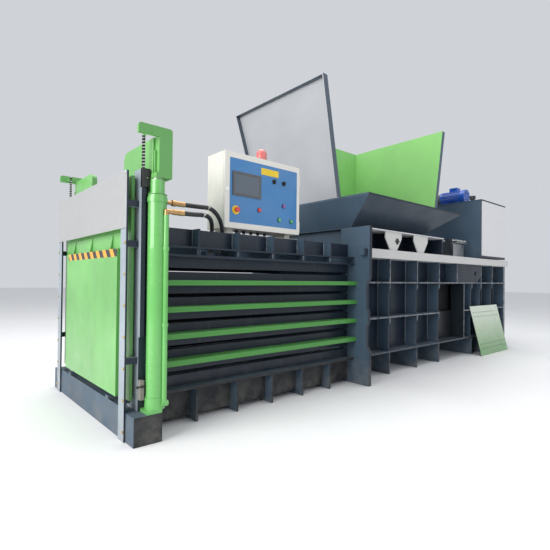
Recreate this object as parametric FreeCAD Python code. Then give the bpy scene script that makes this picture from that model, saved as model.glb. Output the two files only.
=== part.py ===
"""Horizontal closed-gate hydraulic baler for recyclables.

Millimetres, +Z up. While it is built, X runs from the gate's front face (0) to the rear plate, Y = 0 is the
middle plane and Z = 0 is the ground. Every solid is moved by half the length when it is written, so the
origin of the finished machine is the middle of its footprint on the ground.
"""
import FreeCAD, Part
import math
import os

V = FreeCAD.Vector

# ---------------------------------------------------------------- driving dimensions
length = 6000.0             # gate front to rear plate
height = 3000.0             # ground to the hopper's upper rim
bale_width = 1100.0         # clear width of the chamber
bale_height = 900.0         # clear height of the chamber
floor_top = 250.0           # chamber floor above the ground
plate = 20.0                # floor, wall and roof liner plates
rib_plate = 16.0            # ribs and flanges
frame_depth = 155.0         # from the liner's outer face to the ribs' outer edge
run_gap = 6.0               # clearance round the ram and the gate
pin_gap = 0.3               # radial clearance of turning and sliding round parts

chamber_start = 200.0       # rear face of the portal frame
stanchion_x = 2280.0        # front face of the stanchion plates
stanchion_plate = 40.0
throat_front = 2450.0       # feed opening between these two
throat_length = 1200.0
slot_count = 5              # tying slots on each side of the chamber
slot_height = 28.0
beam_depth = 90.0           # thickness of the chamber's side beams
tube_wall = 12.0
rail_height = 36.0
rail_depth = 114.0          # green rails stand this far out from the side beams

# gate end
head_plate = 8.0
strip = 12.0                # thickness of the front guide strips
gate_thick = 50.0
gate_overlap = 185.0        # from the chamber's inner face to the gate's edge
column_width = 100.0
cover_sheet = 8.0
gate_back_plate = 20.0
column_thick = 50.0
base_height = 175.0

# lift cylinders
lift_r = 57.5
lift_bore_r = 45.0
lift_rod_r = 30.0
lift_gland_r = 44.0
pipe_r = 16.0

# rack on each lift head, and its guide
rack_x = 92.0
rack_depth = 16.0
rack_width = 16.0
rack_pitch = 20.0
rack_pin_r = 10.0
roller_r = 14.0
roller_pin_r = 4.0

# press section
pale_beam_height = 90.0
seat_end = 3940.0
press_rib_x = (2880.0, 3430.0, 3940.0, 4850.0, 5140.0, 5520.0)
rib_scoop = 18.0
short_rib_x = 4410.0        # rib over the access window, top row only
jamb_rib_x = 4610.0         # rib at the rear edge of the access window
flange_gap = (350.0, 720.0) # the two upper rows of flanges, above the chamber floor
window = (3965.0, 4600.0, 22.0, 700.0)      # access window: from, to, bottom, top above the chamber floor
shutter_rise = 330.0        # recessed plate that closes the window's lower part
gusset_x = (2888.0, 3438.0) # V gussets above the first two ribs
gusset_half = 150.0
gusset_stem = 60.0
lug_hole_r = 32.5
rear_plate = 40.0

# ram and main cylinder
ram_face = 3700.0
ram_length = 1350.0
ram_stroke = 1400.0
ram_plate = 25.0
main_r = 140.0
main_bore_r = 110.0
main_rod_r = 75.0
main_z = 620.0
rod_setback = 180.0         # piston from the rear plate with the ram fully back
piston_length = 100.0
gland_length = 110.0
stroke_spare = 20.0
lug_pin_r = 30.0

# hopper
hopper_x0 = 2260.0
hopper_x1 = 4120.0
hopper_sheet = 8.0
hopper_lean = 220.0
back_lean = 190.0
stiffener = 12.0            # edge stiffeners of the upper hopper
edge_depth = 55.0
rim_thick = 20.0
throat_half = bale_width / 2 - 10.0

# power pack and cabinet

# ---------------------------------------------------------------- worked-out places
wall_in = bale_width / 2
wall_out = wall_in + plate
rib_out = wall_out + frame_depth
roof_z = floor_top + bale_height
gate_half = wall_in + gate_overlap
cover_half = gate_half - 150.0
column_in = gate_half - 50.0
column_out = column_in + column_width
lift_y = column_out + lift_r - 7.5     # the barrel nests past the column's rear corner
half_width = lift_y + lift_r + 7.5
gate_bottom = floor_top - 15.0
cover_top = roof_z + 40.0
gate_top = roof_z + 490.0
column_top = gate_top + 40.0
gate_stroke = bale_height + 50.0
head_plate_low = roof_z + 156.0
lift_barrel_top = roof_z + 366.0
lift_gland_top = lift_barrel_top + 96.0
guide_low = lift_barrel_top + 49.0
lift_foot_z = roof_z + 470.0
head_bar_z = gate_top + 230.0   # underside of the side bar that carries the rack
rack_pin_z = head_bar_z + 20.0
press_floor_end = length - rear_plate
main_front = press_floor_end - rod_setback - piston_length - ram_stroke - stroke_spare - gland_length
press_top = roof_z + 80.0   # underside of the long pale beams
seat_top = press_top + 295.0
hopper_split = seat_top + 290.0
tank = (length - 900.0, length - 40.0, -740.0, 560.0, press_top + 110.0, press_top + 940.0)
cabinet = (840.0, 1640.0, -600.0, -350.0, roof_z + 250.0, roof_z + 850.0)
beam_pitch = bale_height / slot_count
gate_x0 = head_plate + strip + 5.0
gate_x1 = gate_x0 + gate_thick
column_x0 = gate_x1 + 15.0
column_x1 = column_x0 + column_thick
lift_x = column_x1 + lift_r - 17.5
portal_x0 = column_x1
throat_rear = throat_front + throat_length
ear_x0 = column_x1 + 10.0
ear_plate = 40.0
lift_x = column_x1 + lift_r - 17.5
nodes = {}


# ---------------------------------------------------------------- shape helpers
def box(x0, x1, y0, y1, z0, z1):
    return Part.makeBox(x1 - x0, y1 - y0, z1 - z0, V(x0, y0, z0))


def cyl(start, axis, radius, run):
    return Part.makeCylinder(radius, run, V(*start), V(*axis))


def prism(points, run):
    """A closed outline of 3-D points, pushed along the vector run."""
    corners = [V(*p) for p in points]
    return Part.Face(Part.makePolygon(corners + corners[:1])).extrude(V(*run))


def cut(body, *tools):
    for tool in tools:
        body = body.cut(tool)
    return body


def fuse(*shapes):
    whole = shapes[0]
    for shape in shapes[1:]:
        whole = whole.fuse(shape)
    return whole.removeSplitter()


def far(shape):
    """The same piece on the other side of the machine."""
    return shape.mirror(V(0, 0, 0), V(0, 1, 0))


def both(shapes):
    return list(shapes) + [far(s) for s in shapes]


def save(node, shapes):
    """Adds solids to a node; a node holds one piece, or a set of like pieces."""
    for shape in shapes:
        nodes.setdefault(node, []).extend(shape.Solids)


def write_nodes():
    for node, solids in nodes.items():
        whole = Part.makeCompound(solids)
        whole.translate(V(-length / 2, 0, 0))
        whole.exportStep("parts/" + node + ".step")


def hex_head(centre, axis, across, thick):
    """A bolt head: a hexagonal prism on the plane through centre, along axis (X, Y or Z)."""
    r = across / math.sqrt(3)
    points = []
    for i in range(6):
        a = math.radians(60 * i)
        c, s = r * math.cos(a), r * math.sin(a)
        if axis[0]:
            points.append((centre[0], centre[1] + c, centre[2] + s))
        elif axis[1]:
            points.append((centre[0] + c, centre[1], centre[2] + s))
        else:
            points.append((centre[0] + c, centre[1] + s, centre[2]))
    return prism(points, tuple(thick * a for a in axis))


# ---------------------------------------------------------------- gate end
def gate_end():
    x0 = head_plate + strip
    beam = cut(box(x0, chamber_start, -half_width + tube_wall, half_width - tube_wall, 0, base_height),
               box(x0 + tube_wall, chamber_start - tube_wall, -half_width, half_width,
                   tube_wall, base_height - tube_wall))
    cap = box(x0, chamber_start, -half_width, -half_width + tube_wall, 0, base_height)
    save("base_beam", [beam] + both([cap]))

    sill = box(x0, gate_x0 - 1.0, -column_in + 20, column_in - 20, base_height, base_height + 20)
    pads = [box(x0 + 1, gate_x0 - 1.0, y - 30, y + 30, base_height + 20, base_height + 38)
            for y in (-0.6 * gate_half, 0.6 * gate_half)]
    save("base_beam", [sill] + pads)

    column = box(column_x0, column_x1, -column_out, -column_in, base_height, column_top)
    save("gate_columns", both([column]))
    strips = box(head_plate, x0, -column_out + 10, -column_in, 0, gate_top + 20)
    save("gate_guide_strips", both([strips]))
    spacers = [box(x0, column_x0, -column_out + 10, -gate_half - 7, z, z + run)
               for z, run in ((470, 40), (1190, 40), (1440, 40))]
    save("gate_guide_strips", both(spacers))
    plate_shape = box(0, head_plate, -column_out + 10, column_out - 10, head_plate_low, gate_top + 20)
    edges = [e for e in plate_shape.Edges
             if abs(e.Vertexes[0].Z - e.Vertexes[1].Z) < 1 and abs(e.Vertexes[0].Y - e.Vertexes[1].Y) < 1
             and e.Vertexes[0].Z > 1500]
    save("head_plate", [plate_shape.makeFillet(30.0, edges)])

    lintel_top = roof_z + 200
    posts = both([box(portal_x0, chamber_start, -rib_out, -wall_in, base_height, lintel_top)])
    sill_bar = box(portal_x0, chamber_start, -wall_in, wall_in, base_height, floor_top)
    lintel = box(portal_x0, chamber_start, -wall_in, wall_in, roof_z, lintel_top)
    save("portal_frame", posts + [sill_bar, lintel])

    # channel that hides each rack below its guide
    sheet = 4.0
    cover_y, cover_x = -column_out - 5 - rack_width - 6, column_x0 - sheet
    cover_low, cover_high = gate_bottom + 400, guide_low - 5
    web = box(cover_x, column_x0, cover_y, -column_out + 8, cover_low, cover_high)
    cheek = box(column_x0, column_x0 + 24, cover_y, cover_y + sheet, cover_low, cover_high)
    save("gate_columns", both([fuse(web, cheek)]))

    bolt_y = -column_in + 35
    foot = box(column_x0, column_x1, -column_in, -column_in + 70, base_height, base_height + 12)
    bolt = hex_head((column_x0 + column_thick / 2, bolt_y, base_height + 12), (0, 0, 1), 30, 18)
    save("gate_columns", both([foot, bolt]))


def gate():
    back0 = gate_x1 - gate_back_plate
    save("gate_frame", [box(back0, gate_x1, -gate_half, gate_half, gate_bottom, gate_top)])
    front = gate_x0 + cover_sheet
    save("gate_cover", [box(gate_x0, front, -cover_half, cover_half, gate_bottom, cover_top)])
    bars = []
    bar_h = 40.0
    levels = 5
    step = (cover_top - gate_bottom - bar_h) / (levels - 1)
    for i in range(levels):
        z = gate_bottom + i * step
        bars.append(box(front, back0, -cover_half, cover_half, z, z + bar_h))
        if i < levels - 1:
            for y in (-cover_half, cover_half - 15):
                bars.append(box(front, back0, y, y + 15, z + bar_h, z + step))
    save("gate_frame", bars)
    gussets = []
    for y in (-430, 0, 430):
        gussets.append(prism([(front, y, cover_top), (back0, y, cover_top), (back0, y, cover_top + 110)],
                             (0, 12, 0)))
    save("gate_frame", gussets)
    cross = box(gate_x1, ear_x0, -column_in + 25, column_in - 25, gate_top - 90, gate_top)
    save("gate_frame", [cross])


def lift_heads():
    """Ear plate, post, foot, side bar and fin that tie each rod to the gate."""
    ear_x1 = ear_x0 + ear_plate
    low, top, round_r = gate_top - 90, head_bar_z + 5, 60.0
    inner = 350.0
    step_y, step_z = column_out - 10, lift_foot_z + 30
    side, post_in, inside = -lift_y - 55, -lift_y + 2, -lift_y + 40
    outer = -post_in - 2
    ear = box(ear_x0, ear_x1, -outer, -inner, low, top)
    ear = cut(ear, box(ear_x0 - 1, ear_x1 + 1, -outer - 1, -step_y, low - 1, step_z))
    edge = [e for e in ear.Edges if abs(e.Vertexes[0].Z - top) < 1 and abs(e.Vertexes[1].Z - top) < 1
            and abs(e.Vertexes[0].Y + inner) < 1 and abs(e.Vertexes[1].Y + inner) < 1]
    ear = ear.makeFillet(round_r, edge)
    save("lift_heads", both([ear]))

    post_x0, post_x1 = ear_x0 + 12, ear_x1 + 60
    foot = box(ear_x0 - 4, post_x1, side, inside, lift_foot_z, step_z)
    post = box(post_x0, post_x1, side, post_in, step_z, head_bar_z)
    bar = box(30, post_x1, side, side + 24, head_bar_z, head_bar_z + 60)
    corner = [e for e in bar.Edges
              if abs(e.Vertexes[0].Y - e.Vertexes[1].Y) > 20 and e.Vertexes[0].Z > head_bar_z + 30]
    bar = bar.makeFillet(18.0, corner)
    cap = box(post_x0, post_x1, side + 24, post_in, head_bar_z, head_bar_z + 30)
    fin_y, fin_top = -lift_y - 23, step_z + 140
    fin = prism([(ear_x0, fin_y, step_z), (post_x0, fin_y, step_z), (post_x0, fin_y, fin_top),
                 (post_x0 - 14, fin_y, fin_top)], (0, 12, 0))
    pin_x = rack_x + rack_depth / 2
    rack_pin = cyl((pin_x, side + 24, rack_pin_z), (0, 1, 0), rack_pin_r, 60)
    pin_head = cyl((pin_x, side - 2, rack_pin_z), (0, 1, 0), rack_pin_r + 4, 2)
    save("lift_heads", both([fuse(foot, post, cap, fin, bar, rack_pin, pin_head)]))


def lift_cylinders():
    base = box(lift_x - 75, chamber_start, -lift_y - 62, -lift_y + 48, base_height, base_height + 20)
    z0 = base_height + 20
    cup = cyl((lift_x, -lift_y, z0), (0, 0, 1), lift_r + 6, 70)
    barrel = cyl((lift_x, -lift_y, z0), (0, 0, 1), lift_r, lift_barrel_top - z0)
    gland = cyl((lift_x, -lift_y, lift_barrel_top), (0, 0, 1), lift_gland_r, lift_gland_top - lift_barrel_top)
    collar = cyl((lift_x, -lift_y, lift_barrel_top - 45), (0, 0, 1), lift_r + 5, 30)
    shell = fuse(barrel, cup, gland, collar)
    bore = cyl((lift_x, -lift_y, z0 + 25), (0, 0, 1), lift_bore_r, lift_barrel_top - z0 - 25)
    mouth = cyl((lift_x, -lift_y, z0), (0, 0, 1), lift_rod_r + pin_gap, lift_gland_top)
    mouth = mouth.common(cyl((lift_x, -lift_y, z0 + 25), (0, 0, 1), lift_bore_r, lift_gland_top))
    shell = cut(shell, bore, mouth)
    save("lift_barrels", both([shell]))
    save("lift_barrels", both([base]))
    piston_z = z0 + 35
    piston = cyl((lift_x, -lift_y, piston_z), (0, 0, 1), lift_bore_r - pin_gap, 60)
    rod = cyl((lift_x, -lift_y, piston_z), (0, 0, 1), lift_rod_r, lift_foot_z - piston_z)
    save("lift_rods", both([fuse(piston, rod)]))

    # rigid oil pipe down the side of each barrel, with its two clamps and its bottom block
    px, py = lift_x + 32, -lift_y - lift_r - pipe_r + 14
    top = 1390.0
    low = base_height + 55
    pipe = cyl((px, py, low), (0, 0, 1), pipe_r, top - low)
    stub = cyl((px, py, low + 14), (-0.5, 0.85, 0), 13, 45)
    block = cyl((px - 22, py, low), (1, 0, 0), 19, 44)
    pipe = fuse(pipe, block, stub)
    for z in (700, 1170):
        pipe = fuse(pipe, cyl((px, py, z), (0, 0, 1), pipe_r + 4, 22),
                    cyl((px, py, z + 11), (-0.5, 0.85, 0), 9, 45))
    seat = 0.2
    pipe = cut(pipe, cyl((lift_x, -lift_y, 0), (0, 0, 1), lift_r + 6 + seat, z0 + 70 + seat),
               cyl((lift_x, -lift_y, 0), (0, 0, 1), lift_r + seat, 2000))
    save("lift_barrels", both([pipe]))

    clamp_z = 1330.0
    clamp = box(column_x1, lift_x, -column_out + 6, -column_out + 16, clamp_z, clamp_z + 40)
    clamp = cut(clamp, cyl((lift_x, -lift_y, 0), (0, 0, 1), lift_r + seat, 2000))
    save("lift_barrels", both([clamp]))


def rack_and_guide():
    y0 = -column_out - 5 - rack_width
    top = head_bar_z + 45
    low = top - gate_stroke - 300
    count = int((top - 40 - low) / rack_pitch)
    points = [(rack_x + rack_depth, y0, low), (rack_x + rack_depth, y0, top), (rack_x, y0, top)]
    for i in range(count):
        z = top - 40 - i * rack_pitch
        points += [(rack_x, y0, z), (rack_x + 6, y0, z), (rack_x + 6, y0, z - rack_pitch / 2),
                   (rack_x, y0, z - rack_pitch / 2)]
    points.append((rack_x, y0, low))
    rack = prism(points, (0, rack_width, 0))
    pin_hole = cyl((rack_x + rack_depth / 2, y0 - 1, rack_pin_z), (0, 1, 0), rack_pin_r, rack_width + 2)
    rack = cut(rack, pin_hole)
    save("gate_racks", both([rack]))

    roller_z = lift_foot_z + 2
    rx = rack_x + rack_depth + pin_gap + roller_r
    z0, z1 = guide_low, column_top
    inner = box(rack_x, rx + roller_r + 5, -column_out - 3, -column_out, z0, z1)
    outer = box(rack_x, rx + roller_r + 5, y0 - 5, y0 - 1, z0, z1)
    web = box(rx + roller_r + 1, rx + roller_r + 5, y0 - 1, -column_out - 3, z0, z1)
    guide = fuse(inner, outer, web)
    guide = cut(guide, cyl((rx, y0 - 6, roller_z), (0, 1, 0), roller_pin_r + pin_gap, rack_width + 20))
    tongue = box(rack_x + rack_depth + 3, rack_x + rack_depth + 18, -column_out - 6, -column_out,
                 guide_low - 125, z0)
    save("rack_guides", both([guide, tongue]))
    wheel = cyl((rx, y0, roller_z), (0, 1, 0), roller_r, rack_width)
    pin = cyl((rx, y0 - 6, roller_z), (0, 1, 0), roller_pin_r, rack_width + 10)
    roller = fuse(wheel, pin)
    save("rack_roller_near", [roller])
    save("rack_roller_far", [far(roller)])


def limit_switch():
    x0 = column_x0
    body = box(x0, x0 + 24, -column_out - 40, -column_out, 250, 370)
    hub = (x0 + 12, -column_out - 40, 335)
    save("limit_switch", [body])
    arm = fuse(cyl(hub, (0, -1, 0), 9, 8), box(hub[0] - 35, hub[0], hub[1] - 8, hub[1] - 2, 330, 340),
               cyl((hub[0] - 35, hub[1] - 12, 335), (0, 1, 0), 8, 10))
    arm.translate(V(0, -pin_gap, 0))
    save("limit_switch_lever", [arm])


# ---------------------------------------------------------------- bale chamber
def rib_stations(x0, x1, count):
    step = (x1 - x0) / count
    return [x0 + step * (i + 1) for i in range(count - 1)]


def chamber():
    x0, x1 = chamber_start, stanchion_x
    floor = box(x0, x1, -rib_out, rib_out, floor_top - plate, floor_top)
    save("floor_plates", [floor])
    ribs = rib_stations(x0, x1, 6)
    bearers, webs = [], []
    web_y = rib_out - 85
    last = x0
    for x in ribs + [x1 + rib_plate / 2]:
        if x < x1:
            bearers.append(box(x - rib_plate / 2, x + rib_plate / 2, -rib_out, rib_out, 0, floor_top - plate))
        webs.append(box(last, x - rib_plate / 2, -web_y, -web_y + 12, 30, floor_top - plate))
        last = x + rib_plate / 2
    save("floor_bearers", bearers)
    save("floor_bearers", both(webs))

    beams, rails = [], []
    for i in range(slot_count + 1):
        low = floor_top if i == 0 else floor_top + beam_pitch * (i - 0.5) + slot_height / 2
        high = roof_z if i == slot_count else floor_top + beam_pitch * (i + 0.5) - slot_height / 2
        solid = box(x0, x1, -wall_in - beam_depth, -wall_in, low, high)
        hole = box(x0 - 1, x1 + 1, -wall_in - beam_depth + tube_wall, -wall_in - tube_wall,
                   low + tube_wall, high - tube_wall)
        solid = cut(solid, hole)
        beams.append(solid)
        if 0 < i < slot_count:
            z = floor_top + beam_pitch * i
            y0 = -wall_in - beam_depth - rail_depth
            rail = box(x0, x1, y0, -wall_in - beam_depth, z - rail_height / 2, z + rail_height / 2)
            groove = box(x0 - 1, x1 + 1, y0 + 8, -wall_in - beam_depth + 1, z - rail_height / 2 - 1,
                         z + rail_height / 2 - 8)
            rail = cut(rail, groove)
            rails.append(rail)
    save("chamber_beams", both(beams))
    save("tying_rails", both(rails))

    roof = box(x0, x1, -rib_out, rib_out, roof_z, roof_z + 15)
    save("chamber_roof", [roof])
    z_mid, z_top = roof_z + 60, roof_z + 200
    top_ribs, top_webs, bands = [], [], []
    last = x0
    for x in ribs + [x1 + rib_plate / 2]:
        if x < x1:
            top_ribs.append(box(x - rib_plate / 2, x + rib_plate / 2, -rib_out, rib_out, roof_z + 15, z_top))
        end = x - rib_plate / 2
        top_webs.append(box(last, end, -web_y, -web_y + 12, z_mid + 12, z_top))
        bands.append(box(last, end, -rib_out, -web_y + 12, z_mid, z_mid + 12))
        last = x + rib_plate / 2
    save("roof_ribs", top_ribs)
    save("roof_ribs", both(top_webs + bands))


# ---------------------------------------------------------------- press section
def stanchions():
    z_top = seat_top - 5
    steps = [(half_width, 0), (half_width, 330), (half_width - 35, 380), (half_width - 35, 560),
             (half_width - 15, 600), (half_width - 15, 700), (half_width - 35, 740), (half_width - 35, 960),
             (half_width, 1030), (half_width, z_top)]
    points = [(stanchion_x, -y, z) for y, z in steps]
    points += [(stanchion_x, -wall_in, z_top), (stanchion_x, -wall_in, 0)]
    shape = prism(points, (stanchion_plate, 0, 0))
    save("stanchions", both([shape]))
    sill = box(stanchion_x, stanchion_x + stanchion_plate, -wall_in, wall_in, 0, floor_top - plate)
    save("floor_bearers", [sill])
    cleat = box(stanchion_x - 60, stanchion_x, -half_width + 20, -half_width + 80, 1240, 1300)
    save("stanchions", [cleat])


def rib_outline(x, top):
    """Profile rib from the ground to top: in the two lower rows its edge is drawn in above each flange."""
    rows = [floor_top - plate] + [floor_top + gap for gap in flange_gap]
    outline = [(x, -wall_out, 0), (x, -rib_out, 0)]
    for low, high in zip(rows, rows[1:]):
        outline += [(x, -rib_out, low + rib_plate), (x, -rib_out + rib_scoop, low + rib_plate + 2 * rib_scoop),
                    (x, -rib_out + rib_scoop, high - 90), (x, -rib_out, high - 90 + 2 * rib_scoop)]
    return outline + [(x, -rib_out, top), (x, -wall_out, top)]


def press_section():
    """Heavy rear half: floor, walls with an access window, ribs, flanges, roof and the pale long beams."""
    x0, x1 = stanchion_x + stanchion_plate, press_floor_end
    save("floor_plates", [box(x0, x1, -wall_out, wall_out, floor_top - plate, floor_top)])
    wx0, wx1 = window[0], window[1]
    wz0, wz1 = floor_top + window[2], floor_top + window[3]
    beam_top = press_top + pale_beam_height
    wall = box(x0, x1, -wall_out, -wall_in, floor_top, seat_top - 5)
    wall = cut(wall, box(seat_end, x1 + 1, -wall_out - 1, -wall_in + 1, beam_top, seat_top),
               box(wx0, wx1, -wall_out - 1, -wall_in + 1, wz0 + shutter_rise, wz1))
    save("press_walls", both([wall]))

    stations = [x0 - rib_plate] + list(press_rib_x) + [x1 - rib_plate]
    ribs = [prism(rib_outline(x, press_top), (rib_plate, 0, 0)) for x in press_rib_x]
    ribs.append(box(x1 - rib_plate, x1, -rib_out, -wall_out, 0, press_top))
    rows = [floor_top - plate] + [floor_top + gap for gap in flange_gap]
    over_window = box(short_rib_x, short_rib_x + rib_plate, -rib_out, -wall_out,
                      rows[2] + rib_plate, press_top)
    jamb = box(jamb_rib_x, jamb_rib_x + rib_plate, -rib_out, -wall_out, rows[0] + rib_plate, rows[2])
    save("press_ribs", both(ribs + [over_window, jamb]))

    flanges = []
    for z in rows:
        for a, b in zip(stations, stations[1:]):
            ends = [a + rib_plate, b]
            if z == rows[1] and ends[0] < wx1 and ends[1] > wx0:
                ends[0] = jamb_rib_x + rib_plate
            flanges.append(box(ends[0], ends[1], -rib_out, -wall_out, z, z + rib_plate))
    save("press_ribs", both(flanges))
    save("floor_bearers", [box(x, x + rib_plate, -wall_out, wall_out, 0, floor_top - plate)
                           for x in press_rib_x])

    skin = 10.0
    beam = box(x0, x1, -rib_out - 60, -wall_out, press_top, beam_top)
    beam = cut(beam, box(x0 - 1, x1 + 1, -rib_out - 60 + skin, -wall_out - skin,
                         press_top + skin, beam_top - skin))
    save("long_beams", both([beam]))

    front = box(x0, throat_front, -wall_in, wall_in, roof_z, roof_z + plate)
    rear = box(throat_rear, x1, -wall_in, wall_in, roof_z, roof_z + plate)
    blade = box(throat_front - 60, throat_front, -wall_in, wall_in, roof_z + plate, roof_z + plate + 50)
    chute_front = box(throat_front - 60, throat_front - 40, -wall_in, wall_in,
                      roof_z + plate + 50, seat_top - 5)
    chute_rear = box(throat_rear, throat_rear + 20, -wall_in, wall_in, roof_z + plate, seat_top - 5)
    save("press_roof", [front, rear, blade, chute_front, chute_rear])
    save("press_walls", [cut(box(x1, x1 + rear_plate, -rib_out, rib_out, 0, beam_top),
                             cyl((x1 - 1, 0, main_z), (1, 0, 0), 60, rear_plate + 2))])


def lifting_lugs():
    """Flush plate with a crane hole in the top row, between two ribs, on each side."""
    x0, x1 = short_rib_x + rib_plate, press_rib_x[4]
    split = press_rib_x[3]
    z0, z1 = floor_top + flange_gap[1] + rib_plate, press_top
    face = -rib_out
    hole_x, hole_z = press_rib_x[3] + 110, roof_z - 40
    left = box(x0, split, face, face + plate, z0, z1)
    right = prism([(split + rib_plate, face, z1), (split + rib_plate, face, z0), (x1 - 120, face, z0),
                   (x1, face, z0 + 90), (x1, face, z1)], (0, plate, 0))
    right = cut(right, cyl((hole_x, face - 1, hole_z), (0, 1, 0), lug_hole_r, plate + 2))
    save("press_ribs", both([left, right]))


def hopper_seat():
    """Frame between the long beams and the hopper: V gussets, end plate, knob and top flange."""
    x0 = stanchion_x + stanchion_plate
    sheet = 12.0
    z0, z1 = press_top + pale_beam_height, seat_top - sheet
    face = -rib_out - 40
    flange = box(x0, seat_end, -rib_out - 60, -wall_out, z1, seat_top)
    vees = []
    for x in gusset_x:
        vees.append(prism([(x - gusset_stem, face, z0), (x + gusset_stem, face, z0),
                           (x + gusset_half, face, z0 + 130), (x + gusset_half, face, z1), (x - gusset_half, face, z1),
                           (x - gusset_half, face, z0 + 130)], (0, sheet, 0)))
    webs = [box(x - rib_plate / 2, x + rib_plate / 2, face + sheet, -wall_out, z0, z1) for x in gusset_x]
    end = box(seat_end - rib_plate, seat_end, face, -wall_out, z0, z1)
    save("hopper_seat", both([flange, end] + webs))
    save("seat_gussets", both(vees))
    knob_x, knob_z, knob_thick = gusset_x[0] + 57, z0 + 100, 14.0
    lobes = [cyl((knob_x + 20 * math.cos(a), face - knob_thick, knob_z + 20 * math.sin(a)),
                 (0, 1, 0), 12, knob_thick)
             for a in (0, math.pi / 2, math.pi, 3 * math.pi / 2)]
    save("seat_gussets", [fuse(cyl((knob_x, face - knob_thick, knob_z), (0, 1, 0), 13, knob_thick), *lobes)])


def hopper():
    """Flared lower hopper on a foot frame, and the three sheets of the upper hopper."""
    x0, x1 = hopper_x0, hopper_x1
    z0, z1, z2 = seat_top, hopper_split, height
    t = hopper_sheet
    in_y, out_y = throat_half + 20, half_width
    # lower hopper: four sheets flaring from the throat to the split line
    ax0, ax1 = throat_front - 40, throat_rear + 20

    def frustum(grow):
        low = [V(ax0 - grow, -in_y - grow, z0), V(ax1 + grow, -in_y - grow, z0),
               V(ax1 + grow, in_y + grow, z0), V(ax0 - grow, in_y + grow, z0)]
        top = [V(x0 + 10 - grow, -out_y + t + 2 - grow, z1), V(x1 - 10 + grow, -out_y + t + 2 - grow, z1),
               V(x1 - 10 + grow, out_y - t - 2 + grow, z1), V(x0 + 10 - grow, out_y - t - 2 + grow, z1)]
        return Part.makeLoft([Part.makePolygon(low + low[:1]), Part.makePolygon(top + top[:1])], True, True)

    shell = frustum(t).cut(frustum(0))
    foot = cut(box(ax0 - 90, ax1 + 90, -wall_out, wall_out, z0 - 5, z0),
               box(ax0, ax1, -in_y, in_y, z0 - 6, z0 + 1))
    save("lower_hopper", [shell])
    save("lower_hopper", [foot])
    rim = cut(box(x0, x1, -out_y, out_y, z1, z1 + rim_thick),
              box(x0 + 45, x1 - 45, -out_y + 45, out_y - 45, z1 - 1, z1 + rim_thick + 1))
    save("lower_hopper", [rim])

    # upper hopper: two end sheets leaning outward and a back sheet that leans away between them
    zb = z1 + rim_thick
    near_y, far_y = -555.0, 700.0
    far_top = far_y + back_lean
    for node, x, away in (("hopper_front_wall", x0, -1), ("hopper_rear_wall", x1, 1)):
        top_x = x + away * hopper_lean
        wall = prism([(x, near_y, zb), (x, far_y, zb), (top_x, far_top, z2), (top_x, near_y, z2)],
                     (-away * t, 0, 0))
        edges = []
        for low_y, high_y in ((near_y, near_y), (far_y - stiffener, far_top - stiffener)):
            edges.append(prism([(x, low_y, zb), (top_x, high_y, z2), (top_x + away * edge_depth, high_y, z2),
                                (x + away * edge_depth, low_y, zb)], (0, stiffener, 0)))
        cap = box(min(top_x, top_x + away * edge_depth), max(top_x, top_x + away * edge_depth),
                  near_y, far_top, z2 - 10, z2)
        save(node, [fuse(wall, cap, *edges)])
    save("hopper_back_wall", [prism([(x0 + 1, far_y, zb), (x1 - 1, far_y, zb),
                                     (x1 + hopper_lean - 1, far_top, z2), (x0 - hopper_lean + 1, far_top, z2)], (0, t, 0))])


def ram():
    x0, x1 = ram_face, ram_face + ram_length
    half = wall_in - run_gap
    low, high = floor_top + 4 + run_gap, roof_z - run_gap
    t = ram_plate
    face = box(x0, x0 + 60, -half, half, low, high)
    top = box(x0 + 60, x1, -half, half, high - t, high)
    bottom = box(x0 + 60, x1, -half, half, low, low + t)
    sides = [box(x0 + 60, x1, y, y + t, low + t, high - t) for y in (-half + 40, half - 40 - t)]
    lug_y = main_rod_r + 25
    lugs = [box(x0 + 60, x0 + 220, y, y + 30, main_z - 90, main_z + 90) for y in (-lug_y - 30, lug_y)]
    hole = cyl((x0 + 150, -lug_y - 31, main_z), (0, 1, 0), lug_pin_r + pin_gap, 2 * lug_y + 62)
    lugs = [cut(lug, hole) for lug in lugs]
    save("ram_body", [face, top, bottom] + sides + lugs)
    save("ram_wear_parts", [box(x0 - 30, x0, -half, half, high - 80, high)])
    save("ram_wear_parts", [box(x0, x1, y, y + 80, low - run_gap, low) for y in (-half + 30, half - 110)])
    save("main_rod", [cyl((x0 + 150, -lug_y - 45, main_z), (0, 1, 0), lug_pin_r, 2 * lug_y + 90)])
    eye = box(x0 + 90, x0 + 215, -lug_y + 4, lug_y - 4, main_z - main_rod_r, main_z + main_rod_r)
    rod_end = press_floor_end - rod_setback
    rod = cyl((x0 + 215, 0, main_z), (1, 0, 0), main_rod_r, rod_end - x0 - 215)
    piston = cyl((rod_end - piston_length, 0, main_z), (1, 0, 0), main_bore_r - pin_gap, piston_length)
    pin_hole = cyl((x0 + 150, -lug_y, main_z), (0, 1, 0), lug_pin_r + pin_gap, 2 * lug_y)
    rod = cut(fuse(eye, rod, piston), pin_hole)
    save("main_rod", [rod])
    back = press_floor_end
    shell = cyl((main_front, 0, main_z), (1, 0, 0), main_r, back - 40 - main_front)
    flange = cyl((back - 40, 0, main_z), (1, 0, 0), main_r + 60, 40)
    ring = cyl((main_front, 0, main_z), (1, 0, 0), main_r + 20, 60)
    bore_front = main_front + gland_length
    bore = cyl((bore_front, 0, main_z), (1, 0, 0), main_bore_r, back - 120 - bore_front)
    mouth = cyl((main_front - 1, 0, main_z), (1, 0, 0), main_rod_r + pin_gap, gland_length + 10)
    save("main_barrel", [cut(fuse(shell, flange, ring), bore, mouth)])
    sx = ram_face + ram_length + 80
    saddle = cut(box(sx, sx + 60, -220, 220, floor_top, main_z),
                 cyl((sx - 1, 0, main_z), (1, 0, 0), main_r + pin_gap, 62))
    save("main_barrel", [saddle])


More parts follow.
